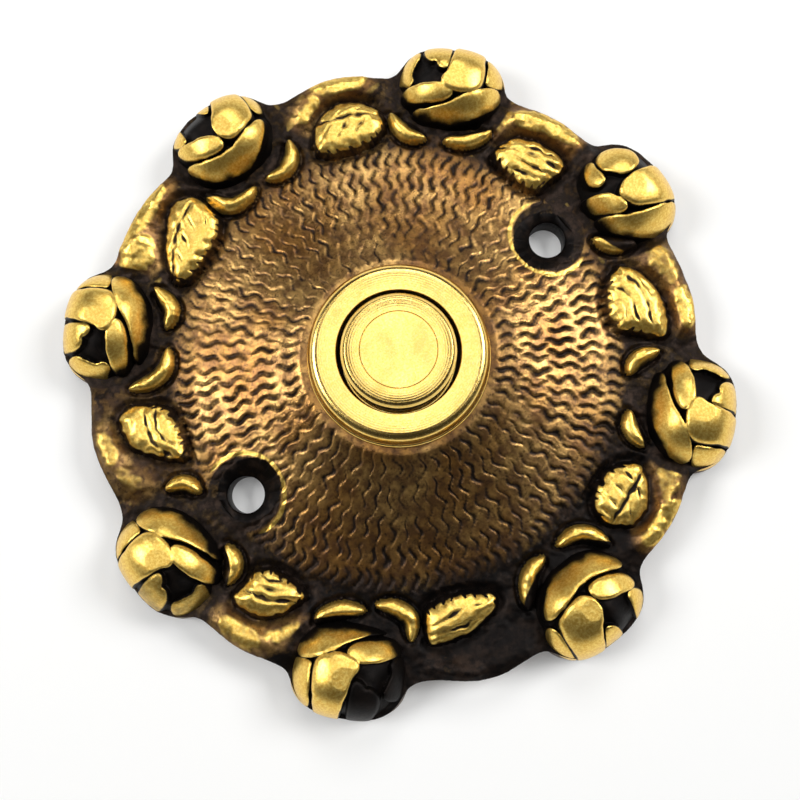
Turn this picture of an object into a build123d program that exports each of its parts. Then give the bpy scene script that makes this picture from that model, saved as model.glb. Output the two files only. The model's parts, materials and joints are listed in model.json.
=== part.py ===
from build123d import *
import os

# Round brass bell push: a cast plate with a garland of eight roses round a dish, and a turned
# push button in a bezel. Millimetres. The origin is the centre of the back plane, +Z comes out
# of the front, and X runs through the two screw holes.

os.makedirs("parts", exist_ok=True)

# Cast plate: overall form
plate_reach = 40.0  # centre to the outermost petal
rim_radius = 33.6  # edge of the garland's bed between its leaves
foot_width = 2.8  # flat rim that lies on the wall
plate_wall = 2.0
hollow_draft = 0.6
seat_height = 8.3  # bezel seat above the back plane
seat_land = 2.8  # flat seat for the bezel, outside its barrel
dish_radius = 26.0
bed_height = 3.5  # garland's bed, from the dish's edge to the rim
dish_sag = 0.75  # how far the dish hangs below a straight cone

# Roses, each a domed cap cut by the gaps between its petals
rose_radius = 5.8
rose_height = 7.8
rose_side = ((5.2, 4.0), (4.0, 6.5), (1.7, 7.8))  # radius and height of each edge of the cap
petal_gap_depth = 2.4

# How far each rose sits inside the outermost one, its angle, and its turn from the tangent
rose_insets = (1.6, 1.1, 1.0, 0.8, 0.8, 0.0, 0.6, 1.0)
rose_angles = (-2.4, 39.0, 86.8, 130.8, 179.9, 220.3, 268.6, 309.7)
rose_turn_angles = (40, 18, -8, 22, 26, 22, -5, 22)

# Gaps between petals on one cap: start, middle and end seen from the front, and width
petal_gaps = (
    ((-5.5, -0.9), (-0.2, -2.8), (5.4, -0.9), 1.1),
    ((0.1, -2.8), (-0.4, 1.2), (2.2, 5.2), 1.2),
    ((-4.4, 0.5), (-2.7, 2.7), (-0.6, 4.8), 2.0),
)

# Petals that curl out of the bed on the dish side of each rose
curl_outline = ((-2.5, 0), (-2.0, -1.9), (0, -2.7), (2.0, -1.9), (2.5, 0), (1.0, -1.3), (-1.0, -1.3))
curl_height = 5.1
curl_slope = 16
curl_spots = ((-4.1, -5.2, -28), (3.6, -5.3, 24))  # across, outward and turn from the rose

# Leaves between the roses: ring radius, angle and turn from the tangent
leaf_length = 10.0
leaf_width = 4.9
leaf_height = 5.2
leaf_edge_height = 4.2
leaf_rings = (29.3, 29.8, 28.9, 29.2, 30.0, 29.0, 29.1, 28.4)
leaf_angles = (16.9, 62.0, 108.1, 155.1, 202.1, 242.7, 289.1, 334.8)
leaf_turn_angles = (8, 3, 19, 40, 12, 21, 10, -12)

# Long leaves that make the wavy rim
rim_leaf_length = 14.0
rim_leaf_width = 5.4
rim_leaf_height = 4.6
rim_leaf_edge_height = 2.9
rim_leaf_lean = 0.8
rim_leaf_ring = 32.6
rim_leaf_angles = (16.2, 61.5, 110.0, 157.0, 200.4, 246.5, 288.6, 335.6)

# Screw holes for 4 mm countersunk screws
screw_hole_radius = 2.1
screw_spacing = 45.4
countersink_start = 2.5
countersink_radius = 5.0
screw_boss_radius = 4.4

# Bezel: a flange on a barrel that passes through the plate
barrel_radius = 8.0
barrel_clearance = 0.1
flange_radius = 9.95
flange_height = 3.2
flange_shoulder = 0.85
base_band = 0.7  # height of the band at its foot
base_band_step = 0.2
bore_radius = 6.6
guide_web = 1.3
chamber_radius = 6.2
barrel_lip = 0.4

# Push button
button_gap = 0.49
button_proud = 1.0
button_thickness = 3.0
button_chamfer = 0.45
button_travel = 1.4
web_spare = 0.3  # left under the button at full travel
spring_pocket_radius = 3.3
spring_pocket_depth = 1.9
stem_radius = 1.5
stem_clearance = 0.05
stem_tail = 0.3

# Return spring, coiled from flat wire
spring_wire_width = 0.5
spring_wire_height = 0.3
spring_coil_radius = 2.4
spring_turns = 2.25
spring_end_gap = 0.02

# Moving contact under the web
bush_flange_side = 5.0
bush_flange = 0.8
bush_sleeve_radius = 1.85
fit_clearance = 0.02
bridge_length = 10.2
bridge_width = 5.2
bridge_thickness = 0.4
bridge_washer_side = 4.6
bridge_washer_thickness = 0.5
clip_radius = 2.2
clip_thickness = 0.4
clip_groove = 0.3
tip_side = 1.5
tip_height = 0.4

# Fixed contacts in the insulating base
contact_spacing = 8.0
contact_air_gap = 0.05  # left between the tips at full travel
contact_plate_side = 3.0
contact_plate_thickness = 0.9
contact_plate_cover = 0.2  # left over the blind thread
base_thickness = 0.9
base_clearance = 0.05
base_shoulder = 0.4
ring_thickness = 0.4
ring_width = 1.0
ring_gap_width = 5.0
terminal_head_radius = 1.2
terminal_head_height = 0.7
terminal_shank_radius = 0.6
terminal_slot_width = 0.4
terminal_slot_depth = 0.35

# Nut and washer behind the plate
nut_wall = 1.5  # at the flats, outside the barrel
nut_thickness = 2.4
lock_washer_width = 2.3
lock_washer_thickness = 0.5

# Heights worked out from the sizes above, from the front to the back
ceiling = seat_height - plate_wall
bezel_top = seat_height + flange_height
button_top = bezel_top + button_proud
button_bottom = button_top - button_thickness
web_top = button_bottom - button_travel - web_spare
web_bottom = web_top - guide_web
bush_bottom = web_bottom - bush_flange
bridge_bottom = bush_bottom - bridge_thickness
bridge_washer_bottom = bridge_bottom - bridge_washer_thickness
clip_bottom = bridge_washer_bottom - clip_thickness
stem_end = clip_bottom - stem_tail
tip_bottom = bridge_bottom - tip_height
fixed_tip_top = tip_bottom - button_travel - contact_air_gap
base_top = fixed_tip_top - tip_height - contact_plate_thickness
base_bottom = base_top - base_thickness
ring_bottom = base_bottom - ring_thickness
barrel_end = ring_bottom - barrel_lip
pocket_roof = button_bottom + spring_pocket_depth
nut_top = ceiling - lock_washer_thickness

# Radii and places worked out from the sizes above
seat_radius = barrel_radius + seat_land
dish_middle = (seat_radius + dish_radius) / 2
dish_middle_height = (seat_height + bed_height) / 2 - dish_sag
foot_inner = rim_radius - foot_width
cone_height = countersink_radius - screw_hole_radius
rose_ring = plate_reach - rose_radius
button_radius = bore_radius - button_gap
base_radius = chamber_radius + base_shoulder - base_clearance
plate_hole_radius = barrel_radius + barrel_clearance
guide_radius = stem_radius + stem_clearance
contact_x = contact_spacing / 2
screw_x = screw_spacing / 2


def save(built, name):
    built.part.label = name
    export_step(built.part, f"parts/{name}.step")


def on_ring(radius, angle, turn):
    """Place on a ring about Z, with local X along the tangent and local Y outwards."""
    spot = Vector(radius, 0).rotate(Axis.Z, angle)
    return Location((spot.X, spot.Y, 0), (0, 0, angle - 90 + turn))


def tapered(start, middle, end, width):
    """Face between two arcs that share their ends, widest at the middle."""
    first, centre, last = Vector(*start), Vector(*middle), Vector(*end)
    across = (last - first).normalized().rotate(Axis.Z, 90) * (width / 2)
    with BuildSketch() as shape:
        with BuildLine():
            ThreePointArc(first, centre + across, last)
            ThreePointArc(last, centre - across, first)
        make_face()
    return shape.sketch


def petal_gap(start, middle, end, width):
    """Gap that bends at its middle, where it is widest, and runs out to a point at each end."""
    first, centre, last = Vector(*start), Vector(*middle), Vector(*end)
    across = (last - first).normalized().rotate(Axis.Z, 90) * (width / 2)
    with BuildSketch() as shape:
        with BuildLine():
            Polyline(first, centre + across, last, centre - across, first)
        make_face()
    return shape.sketch


def ridged_leaf(length, width, height, edge_height, lean):
    """Pointed leaf with two flats that meet in a ridge, which leans off the middle."""
    with BuildPart() as blank:
        with BuildSketch():
            add(tapered((-length / 2, 0), (0, 0), (length / 2, 0), width))
        extrude(amount=height)
        with BuildSketch(Plane.YZ.offset(-length / 2)):
            with BuildLine():
                edge = width / 2
                Polyline(
                    (-edge, 0),
                    (edge, 0),
                    (edge, edge_height),
                    (-lean, height),
                    (-edge, edge_height),
                    (-edge, 0),
                )
            make_face()
        extrude(amount=length, mode=Mode.INTERSECT)
    return blank.part


# Rose: a domed cap, less the tapering gaps between its petals
with BuildPart() as rose:
    with BuildSketch(Plane.XZ):
        with BuildLine():
            Polyline((0, 0), (rose_radius, 0), *rose_side, (0, rose_height), (0, 0))
        make_face()
    revolve(axis=Axis.Z)
    with BuildSketch(Plane.XY.offset(rose_height)):
        for gap in petal_gaps:
            add(petal_gap(*gap))
    extrude(amount=-petal_gap_depth, mode=Mode.SUBTRACT)

# Petal curl: a crescent lip with its hollow side towards the rose and a sloping top
with BuildPart() as petal_curl:
    with BuildSketch():
        with BuildLine():
            Polyline(*curl_outline, close=True)
        make_face()
    extrude(amount=curl_height)
    curl_top = Plane(origin=(*curl_outline[2], curl_height), z_dir=(0, 0, 1))
    split(bisect_by=curl_top.rotated((-curl_slope, 0, 0)), keep=Keep.BOTTOM)

leaf = ridged_leaf(leaf_length, leaf_width, leaf_height, leaf_edge_height, 0)
rim_leaf = ridged_leaf(
    rim_leaf_length, rim_leaf_width, rim_leaf_height, rim_leaf_edge_height, rim_leaf_lean
)

# Hollow behind the plate, one wall below the dish, round bosses for the screw holes
with BuildPart() as hollow:
    with BuildSketch(Plane.XZ):
        with BuildLine():
            flat = Polyline((foot_inner, 0), (0, 0), (0, ceiling), (seat_radius, ceiling))
            Polyline(
                flat @ 1,
                (dish_middle, dish_middle_height - plate_wall),
                (dish_radius, bed_height - plate_wall),
                (foot_inner - hollow_draft, bed_height - plate_wall),
                flat @ 0,
            )
        make_face()
    revolve(axis=Axis.Z)
    with BuildSketch():
        with GridLocations(screw_spacing, 1, 2, 1):
            Circle(screw_boss_radius)
    extrude(amount=seat_height, mode=Mode.SUBTRACT)

# Cast plate
with BuildPart() as rose_plate:
    with BuildSketch(Plane.XZ):
        with BuildLine():
            seat = Polyline((0, 0), (0, seat_height), (seat_radius, seat_height))
            dish_edge = (dish_radius, bed_height)
            ThreePointArc(seat @ 1, (dish_middle, dish_middle_height), dish_edge)
            Polyline(dish_edge, (rim_radius, bed_height), (rim_radius, 0), (0, 0))
        make_face()
    revolve(axis=Axis.Z)

    garland = [rim_leaf.moved(on_ring(rim_leaf_ring, angle, 0)) for angle in rim_leaf_angles]
    for ring, angle, turn_angle in zip(leaf_rings, leaf_angles, leaf_turn_angles):
        garland.append(leaf.moved(on_ring(ring, angle, turn_angle)))
    for inset, angle, turn_angle in zip(rose_insets, rose_angles, rose_turn_angles):
        garland.append(rose.part.moved(on_ring(rose_ring - inset, angle, turn_angle)))
        for across, outward, curl_turn in curl_spots:
            spot = on_ring(rose_ring, angle, 0) * Location((across, outward, 0), (0, 0, curl_turn))
            garland.append(petal_curl.part.moved(spot))
    add(garland)
    add(hollow, mode=Mode.SUBTRACT)

    # Countersinks, as deep as a wide cutter leaves them in the raised petals
    with GridLocations(screw_spacing, 1, 2, 1):
        Cylinder(
            screw_hole_radius,
            countersink_start,
            align=(Align.CENTER, Align.CENTER, Align.MIN),
            mode=Mode.SUBTRACT,
        )
    with Locations((-screw_x, 0, countersink_start), (screw_x, 0, countersink_start)):
        Cone(
            screw_hole_radius,
            countersink_radius,
            cone_height,
            align=(Align.CENTER, Align.CENTER, Align.MIN),
            mode=Mode.SUBTRACT,
        )
    with BuildSketch(Plane.XY.offset(countersink_start + cone_height)):
        with GridLocations(screw_spacing, 1, 2, 1):
            Circle(countersink_radius)
    extrude(amount=rose_height, mode=Mode.SUBTRACT)

    # Hole for the bezel's barrel
    with BuildSketch():
        Circle(plate_hole_radius)
    extrude(amount=seat_height, mode=Mode.SUBTRACT)
save(rose_plate, "rose_plate")

# Bezel: flange with a base band, and a barrel with a guide web inside
with BuildPart() as bezel:
    with BuildSketch(Plane.XZ):
        band_top = seat_height + base_band
        wall_radius = flange_radius - base_band_step
        with BuildLine():
            Polyline(
                (0, barrel_end),
                (barrel_radius, barrel_end),
                (barrel_radius, seat_height),
                (flange_radius, seat_height),
                (flange_radius, band_top),
                (wall_radius, band_top),
                (wall_radius, bezel_top - flange_shoulder),
                (wall_radius - flange_shoulder, bezel_top),
                (0, bezel_top),
                (0, barrel_end),
            )
        make_face()
    revolve(axis=Axis.Z)
    with BuildSketch(Plane.XY.offset(bezel_top)):
        Circle(bore_radius)
    extrude(amount=web_top - bezel_top, mode=Mode.SUBTRACT)
    with BuildSketch(Plane.XY.offset(barrel_end)):
        Circle(chamber_radius)
    extrude(amount=web_bottom - barrel_end, mode=Mode.SUBTRACT)
    with BuildSketch(Plane.XY.offset(barrel_end)):
        Circle(chamber_radius + base_shoulder)
    extrude(amount=base_top - barrel_end, mode=Mode.SUBTRACT)
    with BuildSketch(Plane.XY.offset(web_bottom)):
        Circle(guide_radius)
    extrude(amount=guide_web, mode=Mode.SUBTRACT)
save(bezel, "bezel")

# Push button: chamfered disc, spring pocket and stem
with BuildPart() as push_button:
    with BuildSketch(Plane.XY.offset(button_bottom)):
        Circle(button_radius)
    extrude(amount=button_thickness)
    chamfer(push_button.edges().group_by(Axis.Z)[-1], button_chamfer)
    with BuildSketch(Plane.XY.offset(button_bottom)):
        Circle(spring_pocket_radius)
    extrude(amount=spring_pocket_depth, mode=Mode.SUBTRACT)
    with BuildSketch(Plane.XY.offset(stem_end)):
        Circle(stem_radius)
    extrude(amount=pocket_roof - stem_end)
    with BuildSketch(Plane.XY.offset(clip_bottom)):
        Circle(stem_radius)
        Circle(stem_radius - clip_groove, mode=Mode.SUBTRACT)
    extrude(amount=clip_thickness, mode=Mode.SUBTRACT)
save(push_button, "push_button")

# Return spring between the web and the roof of the button's pocket
with BuildPart() as return_spring:
    coil_start = web_top + spring_wire_height / 2 + spring_end_gap
    coil_rise = pocket_roof - web_top - spring_wire_height - 2 * spring_end_gap
    with BuildLine() as coil:
        Helix(coil_rise / spring_turns, coil_rise, spring_coil_radius, center=(0, 0, coil_start))
    wire_end = Plane(origin=coil.line @ 0, x_dir=(1, 0, 0), z_dir=coil.line % 0)
    with BuildSketch(wire_end):
        Rectangle(spring_wire_width, spring_wire_height)
    sweep(is_frenet=True)
save(return_spring, "return_spring")

# Insulating bush: its flange meets the web, its sleeve centres the bridge
with BuildPart() as stem_bush:
    with BuildSketch(Plane.XY.offset(bush_bottom)):
        Rectangle(bush_flange_side, bush_flange_side)
    extrude(amount=bush_flange)
    with BuildSketch(Plane.XY.offset(bridge_bottom)):
        Circle(bush_sleeve_radius)
    extrude(amount=bridge_thickness)
    with BuildSketch(Plane.XY.offset(bridge_bottom)):
        Circle(stem_radius + fit_clearance)
    extrude(amount=bridge_thickness + bush_flange, mode=Mode.SUBTRACT)
save(stem_bush, "stem_bush")

with BuildPart() as contact_bridge:
    with BuildSketch(Plane.XY.offset(bridge_bottom)):
        Rectangle(bridge_length, bridge_width)
        Circle(bush_sleeve_radius + fit_clearance, mode=Mode.SUBTRACT)
    extrude(amount=bridge_thickness)
save(contact_bridge, "contact_bridge")

with BuildPart() as bridge_washer:
    with BuildSketch(Plane.XY.offset(bridge_washer_bottom)):
        Rectangle(bridge_washer_side, bridge_washer_side)
        Circle(stem_radius + fit_clearance, mode=Mode.SUBTRACT)
    extrude(amount=bridge_washer_thickness)
save(bridge_washer, "bridge_washer")

with BuildPart() as stem_clip:
    with BuildSketch(Plane.XY.offset(clip_bottom)):
        Circle(clip_radius)
        Circle(stem_radius - clip_groove + fit_clearance, mode=Mode.SUBTRACT)
        with Locations((clip_radius / 2, 0)):
            Rectangle(clip_radius + 1, stem_radius, mode=Mode.SUBTRACT)
    extrude(amount=clip_thickness)
save(stem_clip, "stem_clip")

# Insulating base
with BuildPart() as contact_base:
    with BuildSketch(Plane.XY.offset(base_bottom)):
        Circle(base_radius)
        with GridLocations(contact_spacing, 1, 2, 1):
            Circle(terminal_shank_radius + fit_clearance, mode=Mode.SUBTRACT)
    extrude(amount=base_thickness)
save(contact_base, "contact_base")

ring_outer = chamber_radius + base_shoulder - fit_clearance
with BuildPart() as base_retaining_ring:
    with BuildSketch(Plane.XY.offset(ring_bottom)):
        Circle(ring_outer)
        Circle(ring_outer - ring_width, mode=Mode.SUBTRACT)
        with Locations((0, ring_outer)):
            Rectangle(ring_gap_width, ring_outer, mode=Mode.SUBTRACT)
    extrude(amount=ring_thickness)
save(base_retaining_ring, "base_retaining_ring")

# Contacts and terminals, one set on each side
head_bottom = base_bottom - terminal_head_height
thread_depth = contact_plate_thickness - contact_plate_cover
shank_end = base_top + thread_depth - fit_clearance
for side, x in (("left", -contact_x), ("right", contact_x)):
    with BuildPart() as bridge_tip:
        with BuildSketch(Plane.XY.offset(tip_bottom)):
            with Locations((x, 0)):
                Rectangle(tip_side, tip_side)
        extrude(amount=tip_height)
    save(bridge_tip, f"bridge_tip_{side}")

    with BuildPart() as contact_plate:
        with BuildSketch(Plane.XY.offset(base_top)):
            with Locations((x, 0)):
                Rectangle(contact_plate_side, contact_plate_side)
        extrude(amount=contact_plate_thickness)
        with BuildSketch(Plane.XY.offset(base_top)):
            with Locations((x, 0)):
                Circle(terminal_shank_radius + fit_clearance)
        extrude(amount=thread_depth, mode=Mode.SUBTRACT)
    save(contact_plate, f"contact_plate_{side}")

    with BuildPart() as contact_tip:
        with BuildSketch(Plane.XY.offset(base_top + contact_plate_thickness)):
            with Locations((x, 0)):
                Rectangle(tip_side, tip_side)
        extrude(amount=tip_height)
    save(contact_tip, f"contact_tip_{side}")

    with BuildPart() as terminal_screw:
        with BuildSketch(Plane.XY.offset(head_bottom)):
            with Locations((x, 0)):
                Circle(terminal_head_radius)
        extrude(amount=terminal_head_height)
        with BuildSketch(Plane.XY.offset(head_bottom)):
            with Locations((x, 0)):
                Rectangle(3 * terminal_head_radius, terminal_slot_width)
        extrude(amount=terminal_slot_depth, mode=Mode.SUBTRACT)
        with BuildSketch(Plane.XY.offset(base_bottom)):
            with Locations((x, 0)):
                Circle(terminal_shank_radius)
        extrude(amount=shank_end - base_bottom)
    save(terminal_screw, f"terminal_screw_{side}")

# Washer and hexagon nut behind the plate
with BuildPart() as lock_washer:
    with BuildSketch(Plane.XY.offset(nut_top)):
        Circle(plate_hole_radius + lock_washer_width)
        Circle(plate_hole_radius, mode=Mode.SUBTRACT)
    extrude(amount=lock_washer_thickness)
save(lock_washer, "lock_washer")

with BuildPart() as lock_nut:
    with BuildSketch(Plane.XY.offset(nut_top)):
        RegularPolygon(barrel_radius + nut_wall, 6, major_radius=False)
        Circle(barrel_radius + stem_clearance, mode=Mode.SUBTRACT)
    extrude(amount=-nut_thickness)
save(lock_nut, "lock_nut")
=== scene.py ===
import json
import math

import bpy
import numpy as np
from mathutils import Matrix, Vector


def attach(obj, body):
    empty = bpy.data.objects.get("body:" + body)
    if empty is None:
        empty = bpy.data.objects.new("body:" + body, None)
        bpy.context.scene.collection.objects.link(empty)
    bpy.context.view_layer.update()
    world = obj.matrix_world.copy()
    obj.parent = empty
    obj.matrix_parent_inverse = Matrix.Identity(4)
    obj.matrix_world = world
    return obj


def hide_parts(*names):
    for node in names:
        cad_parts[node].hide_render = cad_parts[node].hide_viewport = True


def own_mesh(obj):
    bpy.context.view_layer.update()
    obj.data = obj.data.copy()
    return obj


# Cast brass bell push with a garland of roses, laid on a pale table and seen from above.
# Sizes in this script are in millimetres until a mesh or a place is made, and then in metres.

MM = 0.001

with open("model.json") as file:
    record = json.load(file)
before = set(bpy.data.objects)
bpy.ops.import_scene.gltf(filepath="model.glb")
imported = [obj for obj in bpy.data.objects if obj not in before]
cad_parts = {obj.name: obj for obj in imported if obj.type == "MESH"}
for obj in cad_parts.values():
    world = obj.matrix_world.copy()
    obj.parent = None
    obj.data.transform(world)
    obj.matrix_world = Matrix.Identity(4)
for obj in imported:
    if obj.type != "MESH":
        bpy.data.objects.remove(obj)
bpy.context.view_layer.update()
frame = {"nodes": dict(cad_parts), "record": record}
nodes = frame["nodes"]
bpy.ops.object.select_all(action="DESELECT")

scene = bpy.context.scene
scene.view_settings.view_transform = "Standard"


# Camera: nearly straight above the button, a little towards the lower left hole


def add_camera():
    turn = math.radians(-37.7)
    tilt = math.radians(7.54)
    roll = math.radians(-2.9)
    distance = 104.7
    aside = -0.12
    above = -3.62
    back = Vector(
        (math.sin(tilt) * math.sin(turn), -math.sin(tilt) * math.cos(turn), math.cos(tilt))
    )
    up = Vector(
        (-math.cos(tilt) * math.sin(turn), math.cos(tilt) * math.cos(turn), math.sin(tilt))
    )
    side = up.cross(back)
    place = (back * distance + side * aside + up * above) * MM
    right = side * math.cos(roll) + up * math.sin(roll)
    top = up * math.cos(roll) - side * math.sin(roll)
    data = bpy.data.cameras.new("view_from_above")
    data.sensor_width = 36
    data.lens = 40.02
    data.clip_start = 0.005
    camera = bpy.data.objects.new("view_from_above", data)
    scene.collection.objects.link(camera)
    facing = Matrix((right, top, back)).transposed().to_4x4()
    camera.matrix_world = Matrix.Translation(place) @ facing
    scene.camera = camera
    return right, top


image_right, image_up = add_camera()


# Shader maths


class Wire:
    """A shader value. Arithmetic on it adds the nodes that work it out."""

    def __init__(self, owner, socket):
        self.owner = owner
        self.socket = socket

    def maths(self, operation, *others):
        return self.owner.node("ShaderNodeMath", {"operation": operation}, (self, *others))

    def __add__(self, other):
        return self.maths("ADD", other)

    __radd__ = __add__

    def __mul__(self, other):
        return self.maths("MULTIPLY", other)

    __rmul__ = __mul__

    def __sub__(self, other):
        return self.maths("SUBTRACT", other)

    def __rsub__(self, other):
        return self.owner.node("ShaderNodeMath", {"operation": "SUBTRACT"}, (other, self))

    def between(self, low, high):
        """0 below low, 1 above high, and smooth between them."""
        settings = {"interpolation_type": "SMOOTHSTEP"}
        return self.owner.node("ShaderNodeMapRange", settings, (self, low, high, 0.0, 1.0))


class Nodes:
    """A node tree, and short ways to add to it."""

    def __init__(self, tree):
        self.tree = tree

    def plug(self, socket, value):
        if isinstance(value, Wire):
            self.tree.links.new(value.socket, socket)
        elif isinstance(value, tuple) and len(value) == 3 and socket.type == "RGBA":
            socket.default_value = (*value, 1)
        else:
            socket.default_value = value

    def node(self, kind, settings=None, inputs=(), output=0):
        made = self.tree.nodes.new(kind)
        for name, value in (settings or {}).items():
            setattr(made, name, value)
        pairs = inputs.items() if isinstance(inputs, dict) else enumerate(inputs)
        for key, value in pairs:
            self.plug(made.inputs[key], value)
        return Wire(self, made.outputs[output])

    def ray(self, kind):
        """1 where light is followed for this kind of ray, and otherwise 0."""
        return self.node("ShaderNodeLightPath", output=f"Is {kind} Ray")


class Finish(Nodes):
    """A material and the nodes that make it."""

    def __init__(self, name):
        self.material = bpy.data.materials.new(name)
        self.material.use_nodes = True
        super().__init__(self.material.node_tree)
        self.shader = self.tree.nodes["Principled BSDF"]

    def here(self):
        """Place on the piece, in metres."""
        return self.node("ShaderNodeTexCoord", output="Object")

    def length(self, place):
        settings = {"operation": "LENGTH"}
        return self.node("ShaderNodeVectorMath", settings, (place,), output="Value")

    def attribute(self, name):
        return self.node("ShaderNodeAttribute", {"attribute_name": name}, output="Fac")

    def noise(self, size_mm, detail=3.0, roughness=0.55):
        """Noise about 0.5, whose blotches are about size_mm across."""
        inputs = {
            "Vector": self.here(),
            "Scale": 1000 / size_mm,
            "Detail": detail,
            "Roughness": roughness,
        }
        return self.node("ShaderNodeTexNoise", inputs=inputs)

    def mix(self, share, first, second):
        settings = {"data_type": "RGBA"}
        return self.node("ShaderNodeMix", settings, {0: share, 6: first, 7: second}, output=2)

    def bump(self, height, depth_mm):
        inputs = {"Height": height, "Distance": depth_mm * MM, "Strength": 1.0}
        return self.node("ShaderNodeBump", inputs=inputs)

    def set(self, **values):
        for name, value in values.items():
            self.plug(self.shader.inputs[name.replace("_", " ")], value)
        return self.material


# Finishes


def cast_brass():
    """Brown cast brass, rubbed to gold by the polish values and darkened by the grime values; both
    also carry painted shade, and the polish a painted highlight.
    """
    finish = Finish("cast_brass")
    polish_and_painted_light = finish.attribute("polish_and_painted_light")
    grime_and_painted_shade = finish.attribute("grime_and_painted_shade")
    broad = finish.noise(7.0, 2.0)
    blotch = finish.noise(1.6, 4.0, 0.65)
    speck = finish.noise(0.55, 3.0, 0.7)
    grain = finish.noise(0.28, 3.0, 0.7)
    warm = finish.mix(broad.between(0.35, 0.65), (0.37, 0.182, 0.045), (0.62, 0.37, 0.12))
    brown = finish.mix(blotch.between(0.36, 0.64) * 0.75, warm, (0.16, 0.07, 0.028))
    brown = finish.mix(speck.between(0.52, 0.66) * 0.6, brown, (0.04, 0.02, 0.013))
    dark = finish.mix(blotch.between(0.4, 0.7), (0.004, 0.003, 0.0028), (0.036, 0.022, 0.015))
    # Grime and painted shade darken the brown, and above 1 turn it near black
    under = finish.mix(grime_and_painted_shade + (blotch - 0.5) * 0.5, brown, dark)
    under = finish.mix((grime_and_painted_shade - 1) * 4, under, (0.006, 0.0045, 0.004))
    gold = finish.mix(grain.between(0.35, 0.7), (0.8, 0.48, 0.085), (1.0, 0.74, 0.2))
    bright = finish.mix(blotch.between(0.56, 0.8) * 0.4, gold, (0.42, 0.24, 0.06))
    share = (polish_and_painted_light + (blotch - 0.5) * 0.4).between(0.3, 0.72)
    return finish.set(
        Base_Color=finish.mix(share, under, bright),
        Metallic=share * 0.1 + 0.85,
        Roughness=0.29 + share * 0.06 + (1 - share) * grime_and_painted_shade * 0.2 + (grain - 0.5) * 0.16,
        Normal=finish.bump(grain * (1.0 - share * 0.5) + blotch, 0.028),
    )


def turned_brass():
    """Bright turned brass with fine rings, a grain of specks, and painted shade in the gap round
    the button.
    """
    rings_per_metre = 25000
    finish = Finish("turned_brass")
    here = finish.here()
    across = finish.node("ShaderNodeVectorMath", {"operation": "MULTIPLY"}, (here, (1, 1, 0)))
    radius = finish.length(across)
    rings = (radius * rings_per_metre).maths("SINE")
    # Painted shade: the bore round the button is coloured near black, as its shadow
    gap = radius.between(6.15 * MM, 6.3 * MM) * (1 - radius.between(6.6 * MM, 6.64 * MM))
    grain = finish.noise(0.22, 2.0, 0.7)
    blotch = finish.noise(2.2, 3.0)
    gold = finish.mix(grain.between(0.3, 0.72) * 0.6, (0.92, 0.59, 0.13), (0.99, 0.8, 0.34))
    worn = finish.mix(blotch.between(0.45, 0.75) * 0.35, gold, (0.5, 0.3, 0.05))
    return finish.set(
        # The painted shade of the gap turns the colour near black
        Base_Color=finish.mix(gap, worn, (0.02, 0.011, 0.006)),
        Metallic=1.0,
        Roughness=0.25 + (grain - 0.5) * 0.12 + gap * 0.3,
        Anisotropic=0.75,
        Normal=finish.bump(rings * 0.2 + grain * 0.7, 0.01),
    )


def plain_finish(name, colour, darker, roughness, metallic=1.0):
    """One colour with darker blotches and a fine grain, for the pieces inside."""
    finish = Finish(name)
    blotch = finish.noise(1.5, 4.0)
    grain = finish.noise(0.25, 2.0)
    return finish.set(
        Base_Color=finish.mix(blotch.between(0.35, 0.7), colour, darker),
        Metallic=metallic,
        Roughness=roughness + (grain - 0.5) * 0.15,
        Normal=finish.bump(grain, 0.01),
    )


cast = cast_brass()
bright_brass = turned_brass()
plain_brass = plain_finish("plain_brass", (0.66, 0.48, 0.2), (0.45, 0.3, 0.11), 0.38)
spring_bronze = plain_finish("spring_bronze", (0.62, 0.36, 0.17), (0.42, 0.24, 0.1), 0.34)
contact_metal = plain_finish("contact_metal", (0.8, 0.79, 0.76), (0.6, 0.6, 0.58), 0.3)
steel = plain_finish("steel", (0.55, 0.55, 0.56), (0.4, 0.4, 0.41), 0.33)
insulation = plain_finish("insulation", (0.06, 0.036, 0.024), (0.09, 0.055, 0.036), 0.5, 0.0)
slot_finish = {
    "cast_brass": cast,
    "turned_brass": bright_brass,
    "polished_brass": bright_brass,
    "plain_brass": plain_brass,
    "spring_bronze": spring_bronze,
    "contact_metal": contact_metal,
    "steel": steel,
    "insulation": insulation,
}


def wear(piece, finish, slot, body, *stands_for):
    """Give a piece its finish, and say what body and nodes it belongs to. The slot is not used."""
    piece.data.materials.clear()
    piece.data.materials.append(finish)
    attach(piece, body)
    if stands_for:
        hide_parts(*stands_for)


# Relief of the casting: heights in mm over places in mm


def smooth(value, low, high):
    """0 below low, 1 above high, and smooth between them."""
    share = np.clip((value - low) / (high - low), 0, 1)
    return share * share * (3 - 2 * share)


def uneven(x, y, size, seed):
    """Smooth random values from -1 to 1 with blotches of about size mm."""
    cells = 128
    table = np.random.RandomState(seed).rand(cells, cells) * 2 - 1
    u = x / size + cells / 2
    v = y / size + cells / 2
    left = np.floor(u).astype(int)
    low = np.floor(v).astype(int)
    p = u - left
    q = v - low
    p = p * p * (3 - 2 * p)
    q = q * q * (3 - 2 * q)
    left %= cells
    low %= cells
    right = (left + 1) % cells
    high = (low + 1) % cells
    bottom = table[low, left] * (1 - p) + table[low, right] * p
    top = table[high, left] * (1 - p) + table[high, right] * p
    return bottom * (1 - q) + top * q


def rounded(points, closed=True):
    """The same outline with its corners cut, twice."""
    for _ in range(2):
        pairs = list(zip(points, points[1:] + points[:1] if closed else points[1:]))
        cut = [] if closed else [points[0]]
        for (ax, ay), (bx, by) in pairs:
            cut.append((ax * 0.75 + bx * 0.25, ay * 0.75 + by * 0.25))
            cut.append((ax * 0.25 + bx * 0.75, ay * 0.25 + by * 0.75))
        points = cut if closed else cut + [points[-1]]
    return points


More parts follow.
